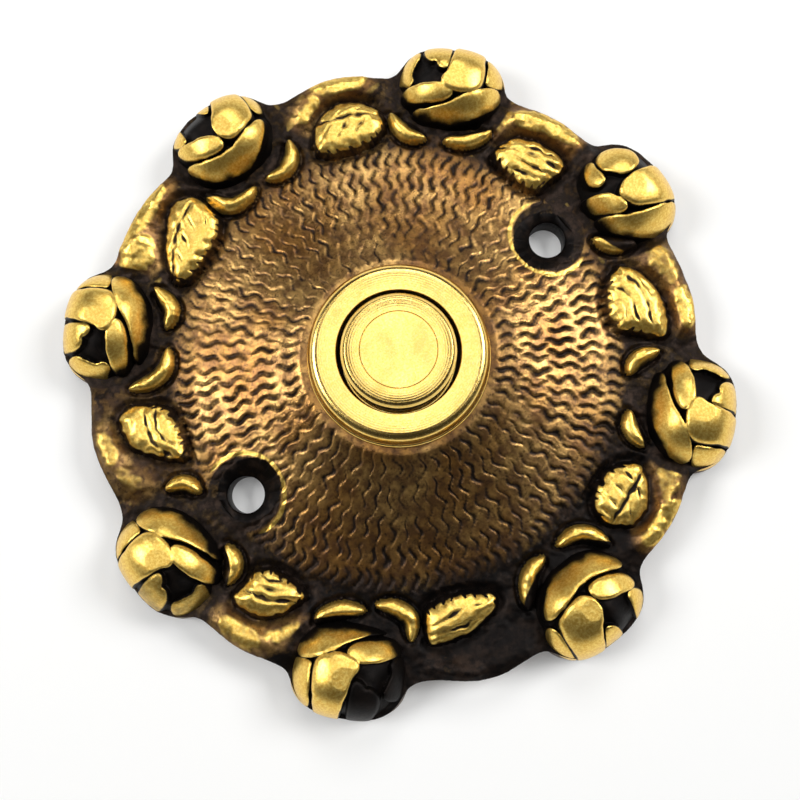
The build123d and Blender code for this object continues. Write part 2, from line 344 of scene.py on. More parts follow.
def line_distance(x, y, points):
    """Distance from a line through a few points."""
    nearest = np.full(np.shape(x), 1e9)
    for (ax, ay), (bx, by) in zip(points, points[1:]):
        dx = bx - ax
        dy = by - ay
        share = np.clip(((x - ax) * dx + (y - ay) * dy) / (dx * dx + dy * dy), 0, 1)
        nearest = np.minimum(nearest, (x - ax - share * dx) ** 2 + (y - ay - share * dy) ** 2)
    return np.sqrt(nearest)


def along_line(x, y, points):
    """Distance from a line, and the share of its length at its nearest place."""
    lengths = [math.dist(first, last) for first, last in zip(points, points[1:])]
    nearest = np.full(np.shape(x), 1e9)
    share = np.zeros(np.shape(x))
    for number, (first, last) in enumerate(zip(points, points[1:])):
        dx = last[0] - first[0]
        dy = last[1] - first[1]
        part = ((x - first[0]) * dx + (y - first[1]) * dy) / (dx * dx + dy * dy)
        part = np.clip(part, 0, 1)
        away = np.hypot(x - first[0] - part * dx, y - first[1] - part * dy)
        closer = away < nearest
        nearest = np.where(closer, away, nearest)
        done = (sum(lengths[:number]) + part * lengths[number]) / sum(lengths)
        share = np.where(closer, done, share)
    return nearest, share


def depth_inside(x, y, outline):
    """How far inside a closed outline each place is. Outside is negative."""
    outline = rounded(list(outline))
    ring = outline + outline[:1]
    inside = np.zeros(np.shape(x), bool)
    for (ax, ay), (bx, by) in zip(ring, ring[1:]):
        rise = by - ay if by != ay else 1e-9
        inside ^= ((ay > y) != (by > y)) & (x < (bx - ax) * (y - ay) / rise + ax)
    return np.where(inside, 1, -1) * line_distance(x, y, ring)


def from_angle(x, y, angle, ring=0.0):
    """Places measured clockwise and outward from a spot on a ring."""
    turn = math.radians(angle)
    px = x - ring * math.cos(turn)
    py = y - ring * math.sin(turn)
    across = px * math.sin(turn) - py * math.cos(turn)
    outward = px * math.cos(turn) + py * math.sin(turn)
    return across, outward


# The bezel's seat and the garland's bed, with the dish between them, and the screw holes
seat_height = 8.3
seat_edge = 10.8
bed_height = 3.5
bed_edge = 26.0
hole_place = 22.7
hole_radius = 2.1
sink_radius = 4.4
sink_start = 2.8

# The ring and height of the spots from which the lips and petals are measured
sight_ring = 34.2
sight_height = 6.3

# Rings of wavy strokes in the dish: first radius, last radius, number of strokes
groove_rings = (
    (10.5, 13.7, 56),
    (13.2, 17.0, 68),
    (16.5, 20.5, 80),
    (20.0, 23.4, 98),
    (22.9, 25.9, 117),
)


def dish_height(radius):
    """The dish falls from the bezel's seat to the garland's bed in a shallow hollow."""
    share = np.clip((radius - seat_edge) / (bed_edge - seat_edge), 0, 1)
    return seat_height - (seat_height - bed_height) * share - 3.0 * share * (1 - share)


def grooves(x, y):
    """Strokes of the dish: how deeply they are cut, and the rubbed ridge beside each."""
    radius = np.hypot(x, y)
    angle = np.arctan2(y, x)
    cut = np.zeros(np.shape(x))
    ridge = np.zeros(np.shape(x))
    for number, (start, end, count) in enumerate(groove_rings):
        chance = np.random.RandomState(40 + number).rand(4, count)
        wave = 0.27 * np.sin(2 * np.pi * (radius - start) / 2.3 + 1.9 * number)
        wave = wave + 0.38 * uneven(x, y, 1.9, 7 + number)
        place = (angle + np.pi) * count / (2 * np.pi) + wave * count / (2 * np.pi * radius)
        index = np.floor(place).astype(int)
        side = (place - index - 0.5) * 2 * np.pi * radius / count
        pick = chance[:, index % count]
        first = start + 0.7 * pick[0]
        last = end - 0.7 * pick[1]
        length = smooth(radius, first - 0.2, first + 0.5)
        length = length * (1 - smooth(radius, last - 0.5, last + 0.2))
        width = (0.14 + 0.09 * pick[2]) * (1 + 0.4 * uneven(x, y, 0.7, 50))
        strength = 0.45 + 0.55 * pick[3]
        cut = np.maximum(cut, strength * length * np.exp(-((side / width) ** 2)))
        beside = np.exp(-(((side - 0.34) / 0.18) ** 2)) * length * (0.4 + 0.6 * pick[2])
        ridge = np.maximum(ridge, beside)
    patchy = np.clip(0.8 + 0.35 * uneven(x, y, 4.5, 21), 0.3, 1)
    return cut * patchy, ridge * patchy


# Leaves between the roses: angle, then places as clockwise and outward distance in mm
leaves = (
    (
        16.2,
        (
            (-4.7, 27.0), (-3.6, 29.6), (-1.8, 30.5), (1.4, 30.8), (3.4, 30.3), (3.4, 29.2),
            (2.7, 27.2), (2.5, 25.8), (0.0, 25.3), (-1.8, 25.8), (-3.6, 26.3),
        ),
        (
            ((-4.6, 27.4), (-1.0, 28.9), (3.3, 29.2)),
            ((-3.0, 27.4), (0.5, 27.7), (2.9, 28.1)),
            ((-2.0, 26.3), (0.5, 26.6), (2.2, 27.0)),
            ((-2.0, 29.4), (0.6, 29.9), (2.2, 30.1)),
        ),
    ),
    (
        62.0,
        (
            (-4.2, 26.5), (-3.5, 29.8), (-1.0, 31.7), (2.0, 31.7), (4.0, 30.2), (4.6, 28.3),
            (3.0, 26.5), (0.5, 25.9), (-2.5, 25.9),
        ),
        (
            ((-3.6, 29.9), (-1.0, 29.6), (1.2, 29.9), (3.6, 29.5)),
            ((-1.6, 29.4), (-3.2, 27.6)),
            ((0.4, 29.4), (-1.8, 27.2)),
            ((2.4, 29.2), (0.4, 27.4)),
            ((1.0, 29.9), (2.4, 30.8)),
            ((-1.4, 29.8), (0.2, 30.8)),
        ),
    ),
    (
        109.0,
        (
            (-5.0, 26.3), (-4.0, 28.5), (-2.0, 30.0), (1.0, 31.8), (3.0, 32.2), (4.8, 31.0),
            (5.0, 28.5), (4.0, 26.2), (1.0, 25.4), (-2.0, 25.6),
        ),
        (
            ((-4.6, 27.4), (-1.4, 29.3), (1.2, 30.0), (4.6, 30.2)),
            ((-1.4, 29.0), (-2.8, 27.2)),
            ((0.6, 29.4), (-1.2, 27.2)),
            ((2.6, 29.8), (1.2, 28.0)),
            ((2.2, 26.8), (3.6, 28.2)),
            ((-1.0, 25.6), (-0.8, 26.6)),
        ),
    ),
    (
        155.5,
        (
            (-3.8, 26.1), (-3.1, 28.1), (-1.8, 30.3), (-0.7, 31.5), (1.4, 32.1), (3.2, 31.9),
            (3.6, 30.3), (3.2, 28.6), (2.5, 26.8), (1.4, 26.1), (-1.1, 25.6), (-3.6, 25.9),
        ),
        (
            ((-3.3, 27.0), (-1.8, 28.5), (0.4, 29.2), (3.3, 28.9)),
            ((-2.3, 26.4), (-1.0, 27.8), (1.0, 28.1), (2.9, 27.7)),
            ((0.6, 30.5), (2.2, 30.4)),
        ),
    ),
    (
        200.8,
        (
            (-3.4, 28.0), (-2.5, 29.7), (-1.3, 31.3), (0.4, 32.1), (2.5, 32.2), (3.6, 31.5),
            (3.2, 30.2), (2.9, 28.4), (2.0, 27.1), (0.0, 26.9), (-1.8, 27.1), (-3.2, 27.4),
        ),
        (
            ((-3.3, 28.4), (-1.4, 29.2), (0.7, 30.1), (3.2, 30.0)),
            ((-1.9, 27.6), (-0.2, 28.8), (2.9, 29.2)),
            ((-0.8, 27.2), (0.6, 28.0), (2.5, 28.1)),
        ),
    ),
    (
        245.0,
        (
            (-3.4, 27.5), (-2.9, 29.1), (-0.4, 30.4), (1.1, 30.9), (3.2, 31.0), (5.0, 30.9),
            (5.2, 29.5), (4.7, 27.7), (4.0, 26.8), (1.4, 26.5), (-1.1, 26.8),
        ),
        (
            ((-2.4, 28.8), (-0.4, 29.5), (1.4, 29.9), (4.9, 29.8)),
            ((0.2, 27.6), (1.8, 28.4), (4.4, 28.9)),
            ((-1.9, 27.9), (-0.2, 28.2)),
        ),
    ),
    (
        289.0,
        (
            (-3.8, 28.8), (-2.9, 30.2), (-1.4, 31.3), (0.4, 32.0), (2.5, 31.6), (3.2, 30.2),
            (3.8, 29.5), (3.6, 27.7), (2.9, 26.6), (1.1, 26.1), (-1.1, 26.2), (-2.9, 27.3),
        ),
        (
            ((-3.3, 29.5), (0.0, 29.3), (3.7, 29.2)),
            ((-1.5, 29.4), (0.0, 31.0)),
            ((0.5, 29.4), (2.4, 31.2)),
            ((-1.5, 29.3), (-2.3, 27.4)),
            ((0.2, 29.2), (-0.6, 26.8)),
            ((1.9, 29.2), (1.1, 26.6)),
            ((3.1, 29.1), (2.7, 27.2)),
        ),
    ),
    (
        334.0,
        (
            (-4.7, 27.0), (-4.0, 28.8), (-1.8, 30.2), (0.4, 30.9), (2.9, 30.9), (4.7, 30.2),
            (4.3, 28.8), (3.2, 27.3), (2.9, 25.5), (1.4, 24.6), (-0.4, 24.6), (-3.2, 25.5),
        ),
        (
            ((-4.1, 26.7), (-2.2, 28.4), (0.4, 29.0), (3.3, 28.7)),
            ((-2.6, 25.5), (-1.1, 27.3), (2.9, 27.5)),
            ((-1.2, 25.0), (-0.2, 26.4), (2.0, 26.3)),
            ((-2.6, 28.9), (0.0, 29.9)),
        ),
    ),
)

# Crests of the long leaves that make the wavy rim, and how bright each is rubbed
crests = (
    (
        16.2,
        (
            (-5.0, 32.0), (-4.2, 33.2), (-2.2, 33.9), (0, 34.2), (2.4, 34.1), (3.4, 33.2),
            (2.6, 32.4), (0.6, 32.2), (-1.2, 32.0), (-2.6, 31.5), (-3.8, 31.0),
        ),
        0.88,
    ),
    (
        16.2,
        (
            (-7.0, 31.5), (-5.6, 32.6), (-4.2, 31.4), (-5.0, 29.6), (-6.4, 29.0), (-7.2, 30.2),
        ),
        0.55,
    ),
    (
        16.2,
        (
            (4.6, 33.4), (6.2, 33.6), (6.8, 32.4), (5.6, 30.4), (4.4, 31.4),
        ),
        0.5,
    ),
    (
        62.0,
        (
            (-3.4, 34.2), (-1.1, 35.0), (1.4, 35.1), (3.6, 34.7), (3.4, 33.4), (0.9, 32.7),
            (-1.9, 33.1),
        ),
        0.85,
    ),
    (
        62.0,
        (
            (-5.6, 31.0), (-4.4, 32.2), (-3.0, 33.3), (-2.3, 32.3), (-3.4, 31.0), (-4.6, 30.0),
        ),
        0.85,
    ),
    (
        109.0,
        (
            (-5.4, 34.6), (-3.0, 35.0), (-0.4, 35.2), (2.9, 35.1), (4.6, 34.2), (2.4, 33.4),
            (-1.1, 33.5), (-3.6, 33.8),
        ),
        0.95,
    ),
    (
        109.0,
        (
            (-6.6, 33.2), (-5.2, 34.2), (-3.4, 33.8), (-1.6, 32.8), (-2.2, 31.6), (-4.2, 30.6),
            (-5.8, 31.2),
        ),
        0.88,
    ),
    (
        155.5,
        (
            (-2.4, 34.8), (1.6, 35.2), (2.0, 33.6), (0.0, 33.0), (-1.8, 33.0),
        ),
        0.55,
    ),
    (
        155.5,
        (
            (-5.5, 33.3), (-3.0, 34.0), (-2.6, 32.4), (-4.6, 30.6), (-6.0, 31.4),
        ),
        0.42,
    ),
    (
        200.8,
        (
            (-2.0, 35.2), (0.7, 35.7), (3.4, 35.2), (4.0, 33.4), (1.9, 32.7), (0, 33.2),
            (-2.0, 33.8),
        ),
        0.62,
    ),
    (
        200.8,
        (
            (-5.0, 31.0), (-3.6, 33.2), (-1.6, 34.2), (-0.7, 33.5), (-2.4, 32.0), (-4.0, 30.2),
        ),
        0.6,
    ),
    (
        245.0,
        (
            (0.4, 35.3), (2.4, 35.2), (5.6, 33.6), (5.4, 32.8), (2.2, 33.6),
        ),
        0.15,
    ),
    (
        289.0,
        (
            (-2.8, 34.5), (-0.6, 35.0), (1.9, 34.9), (4.0, 34.1), (3.4, 32.8), (1.1, 32.5),
            (-1.3, 33.3),
        ),
        0.88,
    ),
    (
        289.0,
        (
            (-5.4, 33.0), (-3.6, 34.0), (-1.6, 33.6), (-1.0, 32.2), (-2.0, 30.9), (-4.0, 30.6),
            (-5.6, 31.4),
        ),
        0.52,
    ),
    (
        334.0,
        (
            (-0.6, 33.8), (1.4, 34.2), (4.0, 33.6), (4.2, 32.6), (2.0, 31.9), (-0.2, 32.4),
        ),
        0.85,
    ),
    (
        334.0,
        (
            (-6.2, 32.6), (-4.0, 33.6), (-1.4, 33.6), (-0.4, 32.4), (-2.4, 31.2), (-4.0, 30.0),
            (-5.8, 30.6),
        ),
        0.52,
    ),
)

# Lips of the petals that curl out of the bed beside each rose: angle, how far the lip is moved
# outward, and places from a spot on the sight ring
lips = (
    (39.0, 0.88, ((-6.3, -6.15), (-4.5, -8.1), (-2.1, -8.25))),
    (39.0, 0.88, ((0.6, -8.1), (3.0, -7.8), (5.4, -6.3))),
    (86.8, 0.85, ((-5.7, -5.7), (-4.8, -8.1), (-3.0, -8.85), (-0.9, -8.4))),
    (86.8, 0.85, ((1.2, -8.4), (3.0, -8.85), (4.8, -8.1), (5.7, -6.3))),
    (130.8, 0.72, ((-7.35, -5.4), (-6.2, -7.6), (-4.5, -8.85), (-2.4, -8.7))),
    (130.8, 0.72, ((0.3, -8.1), (2.5, -8.4), (4.35, -6.0))),
    (179.9, 0.52, ((-6.3, -4.5), (-5.4, -6.5), (-3.3, -7.0))),
    (179.9, 0.52, ((3.6, -8.4), (5.4, -7.8), (6.0, -6.0))),
    (220.3, 0.39, ((-6.15, -4.8), (-5.85, -6.9), (-4.2, -7.8), (-1.95, -7.8))),
    (220.3, 0.39, ((-0.45, -6.9), (1.8, -6.75), (3.9, -5.7), (4.35, -4.95))),
    (268.6, 0.45, ((-5.1, -4.5), (-4.4, -6.4), (-3.0, -7.65), (-0.9, -7.8))),
    (268.6, 0.45, ((1.5, -7.8), (3.9, -7.5), (6.15, -4.8))),
    (309.7, 0.63, ((-6.3, -6.3), (-5.1, -8.4), (-3.4, -9.0))),
    (309.7, 0.63, ((1.2, -8.4), (3.0, -8.1), (4.5, -6.3))),
    (357.6, 0.81, ((2.6, -8.3), (4.4, -7.2), (5.7, -5.2))),
)

# Roses: half sizes of a cap, then each one's distance from the centre and angle
cap_across = 6.7
cap_outward = 5.35
cap_inward = 5.7
cap_power = 2.6
rose_places = (
    (33.0, -3.2),
    (33.6, 39.0),
    (33.5, 87.2),
    (33.8, 132.0),
    (33.7, 180.2),
    (34.5, 220.3),
    (33.8, 267.2),
    (33.5, 309.9),
)


def cap_share(across, outward):
    """0 at the middle of a rose's cap and 1 at its rounded oblong edge."""
    outward = outward / np.where(outward < 0, cap_inward, cap_outward)
    total = np.abs(across / cap_across) ** cap_power + np.abs(outward) ** cap_power
    return total ** (1 / cap_power)


def rose_gap(x, y, ring, angle):
    """Distance out from the edge of a rose's cap, about."""
    return (cap_share(*from_angle(x, y, angle, ring)) - 1) * cap_inward


# Rim between the roses: angle, radius of its hollows, radius of its crest
rim_waves = (
    (16.0, 33.8, 34.35),
    (62.0, 34.1, 35.15),
    (109.0, 34.7, 35.25),
    (155.0, 34.9, 35.65),
    (200.5, 35.3, 36.05),
    (246.0, 34.9, 36.2),
    (289.0, 34.5, 35.1),
    (334.5, 33.85, 34.35),
)


def rim_radius(angles):
    """Outline of the casting, where the rim runs smoothly into each rose."""
    blend = 0.9
    knots = []
    for angle, hollow, crest in rim_waves:
        knots += [(angle - 10, hollow), (angle, crest), (angle + 10, hollow)]
    at = np.radians([knot[0] for knot in knots])
    wave = np.interp(angles, at, [knot[1] for knot in knots], period=2 * np.pi)
    wave = np.mean([np.roll(wave, shift) for shift in range(-12, 13)], axis=0)
    radii = np.linspace(33, 39.6, 240)[:, None]
    x = radii * np.cos(angles)
    y = radii * np.sin(angles)
    near = np.exp(-(radii - wave) / blend)
    for ring, angle in rose_places:
        near = near + np.exp(-(rose_gap(x, y, ring, angle) + 0.5) / blend)
    inside = near > 1
    last = len(radii) - 1 - np.argmax(inside[::-1], axis=0)
    return radii[last, 0]


def longer(line, more):
    """A line with both of its ends carried on by more."""
    ends = []
    for (ax, ay), (bx, by) in ((line[0], line[1]), (line[-1], line[-2])):
        reach = more / math.dist((ax, ay), (bx, by))
        ends.append((ax + (ax - bx) * reach, ay + (ay - by) * reach))
    return [ends[0], *line, ends[1]]


def ends_of(x, y, line):
    """Distance to the nearer end of a line."""
    first = np.hypot(x - line[0][0], y - line[0][1])
    return np.minimum(first, np.hypot(x - line[-1][0], y - line[-1][1]))


class Surface:
    """Places on the plate, with the height, polish and grime that they have so far, painted shade
    and a painted highlight among them.
    """

    def __init__(self, x, y):
        self.x = x
        self.y = y
        self.radius = np.hypot(x, y)
        self.bed = smooth(self.radius, 25.0, 26.4)
        self.fine = uneven(x, y, 0.5, 14)
        self.lay_plate()
        self.lay_painted_shade()

    def lay_plate(self):
        """The dish with its strokes, and the garland's lumpy bed."""
        x, y, bed = self.x, self.y, self.bed
        cut, ridge = grooves(x, y)
        lumps = uneven(x, y, 1.5, 4)
        rough = 0.6 * uneven(x, y, 0.35, 3) + 0.4 * uneven(x, y, 0.9, 2)
        height = dish_height(self.radius) + (0.05 * ridge - 0.3 * cut) * (1 - bed)
        self.height = height + 0.02 * rough + bed * (0.12 * lumps + 0.06 * self.fine)
        edge = smooth(self.radius, 22.6, 25.6)
        polish_and_painted_light = 0.42 * bed * smooth(lumps, 0.2, 0.9)
        rubbed = (1 - bed) * 0.32 * ridge * (0.8 + 0.5 * rough) * (1 - 0.6 * edge)
        self.polish_and_painted_light = polish_and_painted_light + rubbed
        grime_and_painted_shade = cut * 1.8 * (1 - bed) + 0.5 * edge + 0.45 * bed + 0.12 * uneven(x, y, 3.1, 5)
        self.grime_and_painted_shade = grime_and_painted_shade + 0.25 * smooth(-rough, 0.1, 0.5) * (1 - ridge)

    def lay_painted_shade(self):
        """Painted shade, towards the lower edge of the view and round the bezel on its right."""
        down = -(self.x * image_up.x + self.y * image_up.y)
        right = self.x * image_right.x + self.y * image_right.y
        # Painted shade, deepest towards the lower right of the view
        shaded = smooth(down + 0.45 * right, 2.0, 32.0)
        # Painted shade round the bezel, on the right of the view
        painted_bezel_shade = (1 - smooth(self.radius, 10.5, 14.0)) * smooth(right, -2.0, 8.0)
        grime_and_painted_shade = np.clip(self.grime_and_painted_shade + (0.55 + 0.3 * self.bed) * shaded + 0.4 * painted_bezel_shade, 0, 1)
        # Painted shade turns the bed near black towards the lower edge
        self.grime_and_painted_shade = grime_and_painted_shade + 0.15 * self.bed * smooth(shaded, 0.6, 1.0)
        # Painted shade also dims the rubbed gold
        self.polish_and_painted_light = self.polish_and_painted_light * (1 - (0.4 + 0.5 * self.bed) * shaded)

    def raise_rim(self, angle, crest):
        """A long outer leaf swells up to the rim."""
        across, outward = from_angle(self.x, self.y, angle)
        middle = crest - 1.6 - (across / 6.5) ** 2 * 0.9
        swell = np.exp(-(((outward - middle) / 1.7) ** 2)) * (1 - smooth(np.abs(across), 4.0, 7.0))
        self.height = self.height + 0.75 * swell * self.bed

    def add_crest(self, angle, outline, bright):
        """The rubbed crest of a long rim leaf."""
        across, outward = from_angle(self.x, self.y, angle)
        depth = depth_inside(across, outward, outline) + 0.15
        depth = depth + 0.16 * uneven(self.x, self.y, 1.5, 15)
        rise = 1 - (1 - np.clip(depth / 1.1, 0, 1)) ** 2
        self.height = self.height + 0.3 * smooth(depth, -1.1, 0.5) + 0.15 * rise
        self.grime_and_painted_shade = self.grime_and_painted_shade * (1 - 0.7 * bright * smooth(depth, -1.6, 0.0))
        rub = smooth(depth + 0.15 * self.fine, -0.8, 0.8) * bright * (0.95 + 0.2 * self.fine)
        self.polish_and_painted_light = np.maximum(self.polish_and_painted_light, rub)

    def veins_cut(self, across, outward, veins):
        """How deeply the broken veins of a leaf are cut, from 0 to about 1."""
        x, y = self.x, self.y
        bent_across = across + 0.14 * uneven(x, y, 0.7, 61)
        bent_outward = outward + 0.14 * uneven(x, y, 0.7, 62)
        carve = np.zeros(np.shape(x))
        for number, vein in enumerate(veins):
            line = rounded(list(vein), closed=False)
            away = line_distance(bent_across, bent_outward, line)
            taper = smooth(ends_of(across, outward, line), -0.4, 1.1)
            width = (0.24 if number == 0 else 0.2) * (0.3 + 0.7 * taper)
            width = width * (1 + 0.6 * uneven(x, y, 0.8, 16 + number))
            broken = 0.8 + 0.5 * uneven(x, y, 0.9, 33)
            carve = np.maximum(carve, np.exp(-((away / width) ** 2)) * taper * broken)
        return carve

    def add_leaf(self, angle, outline, veins):
        """A flat leaf with a notched inner edge, and a dark hollow round it."""
        x, y = self.x, self.y
        across, outward = from_angle(x, y, angle)
        depth = depth_inside(across, outward, outline) + 0.12
        around = smooth(depth, -1.3, -0.2) * (1 - smooth(depth, -0.2, 0.15))
        polish_and_painted_light = self.polish_and_painted_light * (1 - smooth(depth, -1.5, -0.4))
        phase = across * 0.85 + outward * 0.3 + 0.5 * uneven(x, y, 1.6, 60)
        notch = smooth(np.cos(2 * np.pi * phase), 0.4, 1.0) * (1 - smooth(depth, 0.3, 0.8))
        middle = sum(point[1] for point in outline) / len(outline)
        notch = notch * smooth(middle - outward, 0.0, 1.0)
        depth = depth - 0.08 * notch + 0.16 * uneven(x, y, 0.6, 9)
        rise = 1 - (1 - np.clip(depth / 1.8, 0, 1)) ** 2
        carve = self.veins_cut(across, outward, veins)
        blade = bed_height + 0.5 * smooth(depth, -0.3, 0.2) + 0.85 * rise - 0.22 * carve
        blade = blade + 0.03 * uneven(x, y, 0.9, 17)
        over = depth > -0.25
        height = self.height - 0.45 * around
        self.height = np.where(over, np.maximum(height, blade), height)
        rub = smooth(depth - 0.5 * notch, -0.1, 0.5) * (1 - 0.95 * np.clip(carve, 0, 1))
        self.polish_and_painted_light = np.where(over, np.maximum(polish_and_painted_light, rub), polish_and_painted_light)
        grime_and_painted_shade = np.where(over, np.maximum(self.grime_and_painted_shade, 0.75 + 0.25 * carve), self.grime_and_painted_shade)
        self.grime_and_painted_shade = np.maximum(grime_and_painted_shade, around * smooth(self.radius, 24.8, 26.0))

    def add_lip(self, angle, lean, lip):
        """The lip of a curled petal, with a dark bowl behind it and a dark hollow before it."""
        across, outward = from_angle(self.x, self.y, angle, sight_ring)
        lip = rounded([(u, v + lean) for u, v in longer(lip, 0.3)], closed=False)
        outline = lip + [(lip[-1][0] * 0.8, -4.0), (lip[0][0] * 0.8, -4.0)]
        depth = depth_inside(across, outward, outline)
        away, along = along_line(across, outward, lip)
        width = 0.15 + 0.95 * (4 * along * (1 - along)) ** 0.6
        ridge = np.sqrt(np.clip(1 - (away / width) ** 2, 0, 1))
        bowl = smooth(depth, 0.0, 0.6)
        height = self.height * (1 - bowl) + (0.8 * self.height + 0.55) * bowl
        around = (1 - smooth(away - width, 0.1, 0.7)) * smooth(away - width, -0.2, 0.1)
        height = height - 0.3 * around
        self.height = height + 1.35 * ridge * (0.5 + 0.5 * (4 * along * (1 - along)) ** 0.5)
        rub = smooth(ridge, 0.1, 0.55) * (1 - 0.65 * smooth(depth, 0.0, 0.8))
        rub = rub + 0.12 * self.fine * ridge
        self.polish_and_painted_light = np.maximum(self.polish_and_painted_light * (1 - np.maximum(bowl, around)), rub)
        self.grime_and_painted_shade = np.maximum(self.grime_and_painted_shade, np.maximum(0.85 * bowl, 0.95 * around))

    def ring_hole(self, middle):
        """Dark patina in a countersink, and a painted highlight on the edge where it meets the
        dish.
        """
        gap = np.hypot(self.x - middle, self.y) - (sink_radius - 0.15)
        self.grime_and_painted_shade = np.maximum(self.grime_and_painted_shade, 1 - smooth(gap, -0.1, 0.1))
        # Painted highlight along the countersink's edge on the dish side
        painted_edge_highlight = np.exp(-(((gap - 0.35) / 0.3) ** 2)) * smooth(24.5 - self.radius, -1.5, 1.5)
        self.polish_and_painted_light = np.maximum(self.polish_and_painted_light * smooth(gap, -0.1, 0.3), 0.9 * painted_edge_highlight)

    def ring_rose(self, ring, angle):
        """Dark patina at the foot of a rose."""
        gap = rose_gap(self.x, self.y, ring, angle)
        self.grime_and_painted_shade = np.maximum(self.grime_and_painted_shade, 1 - smooth(gap, 0.2, 1.4))
        self.polish_and_painted_light = self.polish_and_painted_light * smooth(gap, 0.0, 0.6)


def casting(x, y):
    """Height, polish and grime of the plate without its roses, with painted shade and a painted
    highlight worked into them.
    """
    surface = Surface(x, y)
    for angle, _, crest in rim_waves:
        surface.raise_rim(angle, crest)
    for crest in crests:
        surface.add_crest(*crest)
    for leaf in leaves:
        surface.add_leaf(*leaf)
    for lip in lips:
        surface.add_lip(*lip)
    for side in (-1, 1):
        surface.ring_hole(side * hole_place)
    for ring, angle in rose_places:
        surface.ring_rose(ring, angle)
    return surface.height, np.clip(surface.polish_and_painted_light, 0, 1), np.clip(surface.grime_and_painted_shade, 0, 1.2)


def shell(name, rows):
    """A closed mesh from rows of places round the centre, the last row joined to the first."""
    columns = rows[0].shape[0]
    places = np.concatenate(rows) * MM
    index = np.arange(len(rows) * columns).reshape(len(rows), columns)
    along = np.roll(index, -1, axis=1)
    up = np.roll(index, -1, axis=0)
    corner = np.roll(up, -1, axis=1)
    quads = np.stack([index, up, corner, along], axis=-1).reshape(-1, 4)
    mesh = bpy.data.meshes.new(name)
    mesh.from_pydata(places.tolist(), [], quads.tolist())
    piece = bpy.data.objects.new(name, mesh)
    scene.collection.objects.link(piece)
    bpy.context.view_layer.objects.active = piece
    piece.select_set(True)
    bpy.ops.object.shade_smooth_by_angle(angle=math.radians(70))
    piece.select_set(False)
    return piece


def mark(piece, name, values):
    """Keep a value at each vertex for the finish to read."""
    values = np.asarray(values, np.float32)
    attribute = piece.data.attributes.new(name, "FLOAT", "POINT")
    attribute.data.foreach_set("value", values)


def plate_ring(name, radii, back):
    """One ring of the casting: its relief from the inner to the outer radii, then its back."""
    columns = radii.shape[1]
    angles = np.linspace(-np.pi, np.pi, columns, endpoint=False)
    x = radii * np.cos(angles)
    y = radii * np.sin(angles)
    height, polish_and_painted_light, grime_and_painted_shade = casting(x, y)
    rows = [np.stack([x[k], y[k], height[k]], axis=-1) for k in range(len(radii))]
    polish_and_light_rows = [polish_and_painted_light]
    grime_and_shade_rows = [grime_and_painted_shade]
    for radius, level in back:
        ring = np.full(columns, radius) if np.isscalar(radius) else radius
        rows.append(
            np.stack([ring * np.cos(angles), ring * np.sin(angles), np.full(columns, level)], -1)
        )
        polish_and_light_rows.append(np.zeros((1, columns)))
        grime_and_shade_rows.append(np.full((1, columns), 0.7))
    piece = shell(name, rows)
    mark(piece, "polish_and_painted_light", np.concatenate(polish_and_light_rows).ravel())
    mark(piece, "grime_and_painted_shade", np.concatenate(grime_and_shade_rows).ravel())
    return piece


columns = 1300
angles = np.linspace(-np.pi, np.pi, columns, endpoint=False)
seam_radius = 25.3
dish_radii = np.linspace(8.1, seam_radius, 62)[:, None] * np.ones(columns)
dish = plate_ring(
    "dish",
    dish_radii,
    ((seam_radius, 1.55), (22.0, 2.2), (18.4, 3.15), (14.6, 4.6), (10.8, 6.3), (8.1, 6.3)),
)
outline_radii = rim_radius(angles)
steps = np.linspace(0, 1, 66)[:, None]
garland_radii = seam_radius + (outline_radii - seam_radius) * steps
garland = plate_ring(
    "garland",
    garland_radii,
    (
        (outline_radii + 0.02, 2.6),
        (outline_radii + 0.04, 0.3),
        (outline_radii - 0.2, 0.0),
        (30.8, 0.0),
        (30.2, 1.5),
        (26.0, 1.5),
        (seam_radius, 1.55),
    ),
)


# Roses: a wide cap, and petals that lie on it with dark seams between them. The petals' outlines
# are places seen from the camera, clockwise and outward from a spot on the rose ring.
turned_petals = (
    (
        (-4.0, -5.6), (-1.5, -4.6), (0.5, -3.4), (2.5, -1.9), (4.2, -1.2), (5.6, -1.2),
        (6.0, -2.2), (5.4, -3.6), (3.5, -5.0), (1.5, -6.0), (-0.8, -6.6), (-3.0, -6.4),
    ),
    (
        (-5.5, -3.8), (-4.9, -2.8), (-3.2, -1.8), (-1.2, -1.3), (0.1, -1.5), (0.4, -2.6),
        (-0.8, -3.4), (-3.2, -4.1), (-5.0, -4.5),
    ),
    (
        (-1.1, -0.7), (-0.4, 0.3), (-0.2, 1.7), (0.3, 3.4), (0.6, 5.2), (2.9, 5.0), (3.2, 3.0),
        (3.4, 1.7), (3.6, 0.0), (3.4, -1.3), (1.8, -1.9), (0.3, -1.9), (-0.7, -1.5),
    ),
    (
        (3.8, 4.2), (3.9, 2.4), (4.2, 0.3), (4.0, -0.7), (6.3, -1.0), (6.6, 0.6), (5.6, 3.2),
    ),
    (
        (-3.8, 2.2), (-3.2, 4.2), (-2.0, 5.0), (-0.6, 5.2), (-0.7, 3.4), (-0.6, 1.8),
        (-0.8, 0.7), (-1.6, 0.9), (-2.0, 1.6), (-2.8, 1.3),
    ),
    (
        (-6.9, -1.5), (-6.7, 0.6), (-5.4, 2.0), (-4.0, 1.8), (-4.5, 0.5), (-4.9, -0.8),
        (-4.4, -1.6), (-4.8, -2.4), (-6.2, -2.4),
    ),
)
